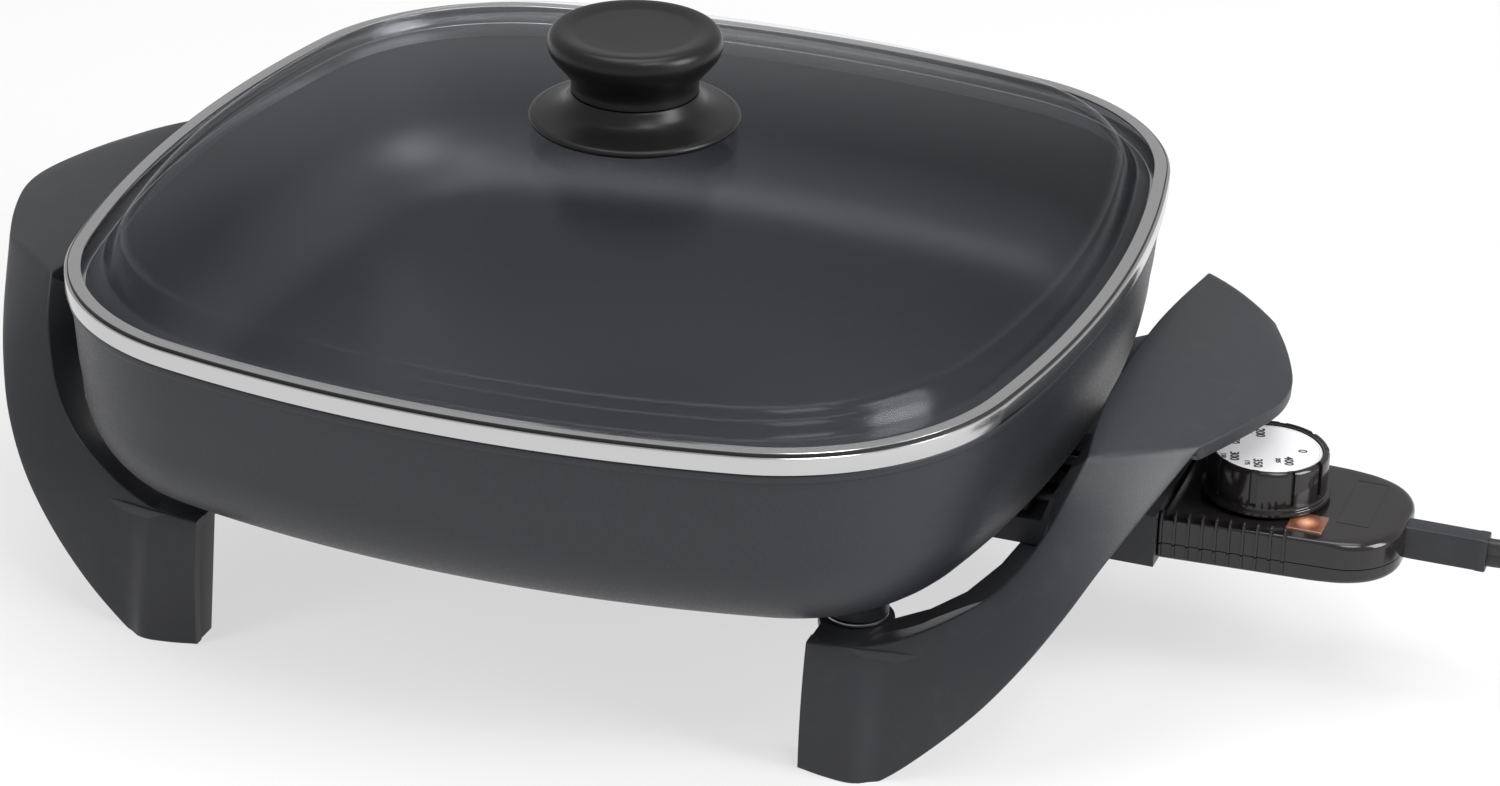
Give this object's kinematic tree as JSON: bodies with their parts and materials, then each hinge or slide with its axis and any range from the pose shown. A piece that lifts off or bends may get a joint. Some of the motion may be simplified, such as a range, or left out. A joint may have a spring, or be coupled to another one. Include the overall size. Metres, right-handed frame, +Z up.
{
  "type": "electric skillet",
  "caption": "Square electric skillet with a glass lid that lifts off, two arched handles that form its feet, and a plug-in heat control with a dial and a short cord.",
  "frame": {"origin": "on the table under the middle of the object's box, with the cord and what is on it left out", "axes": "+X towards the heat control, -Y the front, +Z up"},
  "size_m": [0.6351, 0.31, 0.1725],
  "materials": {
    "pan_coating": "Dark non-stick coating with a fine metallic fleck",
    "element_sheath": "Dull steel heater sheath",
    "black_moulding": "Matte black heat-proof moulding with a soft sheen",
    "gloss_moulding": "Glossy black moulding",
    "knob_moulding": "Satin black moulding",
    "band_steel": "Polished stainless steel",
    "fastener_steel": "Zinc plated steel",
    "contact_brass": "Plain brass",
    "ceramic": null,
    "lid_glass": "Clear tempered glass",
    "gasket_silicone": "Grey silicone",
    "amber_lens": "Translucent amber plastic",
    "dial_plate": "Silver-white printed plate",
    "cord_jacket": "Black cord jacket"
  },
  "bodies": {
    "skillet_base": {"pan": "pan_coating", "heating_element": "element_sheath", "terminal_guard": "black_moulding", "handle_left": "black_moulding", "handle_right": "black_moulding", "terminal_pin_1": "fastener_steel", "terminal_pin_2": "fastener_steel", "pin_bushing_1": "ceramic", "pin_bushing_2": "ceramic", "guard_screw_1": "fastener_steel", "guard_screw_2": "fastener_steel", "handle_screw_1": "fastener_steel", "handle_screw_2": "fastener_steel", "handle_screw_3": "fastener_steel", "handle_screw_4": "fastener_steel", "post_washer_1": "fastener_steel", "post_washer_2": "fastener_steel", "post_washer_3": "fastener_steel", "post_washer_4": "fastener_steel"},
    "lid": {"lid_band": "band_steel", "lid_glass": "lid_glass", "knob_gasket": "gasket_silicone", "knob_disc": "knob_moulding", "lid_knob": "knob_moulding", "lid_washer": "fastener_steel", "knob_screw": "fastener_steel", "knob_insert": "contact_brass"},
    "heat_control": {"control_top": "gloss_moulding", "control_bottom": "gloss_moulding", "control_nose": "black_moulding", "probe_rod": "band_steel", "thermostat_frame": "fastener_steel", "stack_rivet": "contact_brass", "lamp_lens": "amber_lens", "signal_lamp": "amber_lens", "strain_relief": "cord_jacket", "power_cord": "cord_jacket", "cord_coil": "cord_jacket", "plug_lead": "cord_jacket", "cord_tie": "cord_jacket", "plug_body": "cord_jacket", "housing_screw_1": "fastener_steel", "housing_screw_2": "fastener_steel", "housing_screw_3": "fastener_steel", "housing_screw_4": "fastener_steel", "socket_contact_1": "contact_brass", "socket_contact_2": "contact_brass", "blade_insulator_1": "ceramic", "blade_insulator_2": "ceramic", "blade_insulator_3": "ceramic", "thermostat_blade_1": "contact_brass", "thermostat_blade_2": "contact_brass", "contact_point_1": "fastener_steel", "contact_point_2": "fastener_steel", "plug_blade_1": "contact_brass", "plug_blade_2": "contact_brass"},
    "dial": {"dial_knob": "gloss_moulding", "dial_plate": "dial_plate", "dial_shaft": "fastener_steel"}
  },
  "joints": [
    {"name": "lid_lift", "type": "slide", "parent": "skillet_base", "child": "lid", "axis": [0, 0, 1], "range_m": [0, 0.12]},
    {"name": "control_pull", "type": "slide", "parent": "skillet_base", "child": "heat_control", "axis": [1, 0, 0], "range_m": [0, 0.1]},
    {"name": "dial_turn", "type": "hinge", "parent": "heat_control", "child": "dial", "pos_m": [0.1709, 0, 0.0566], "axis": [0, 0, 1], "range_deg": [-310, 0]}
  ]
}
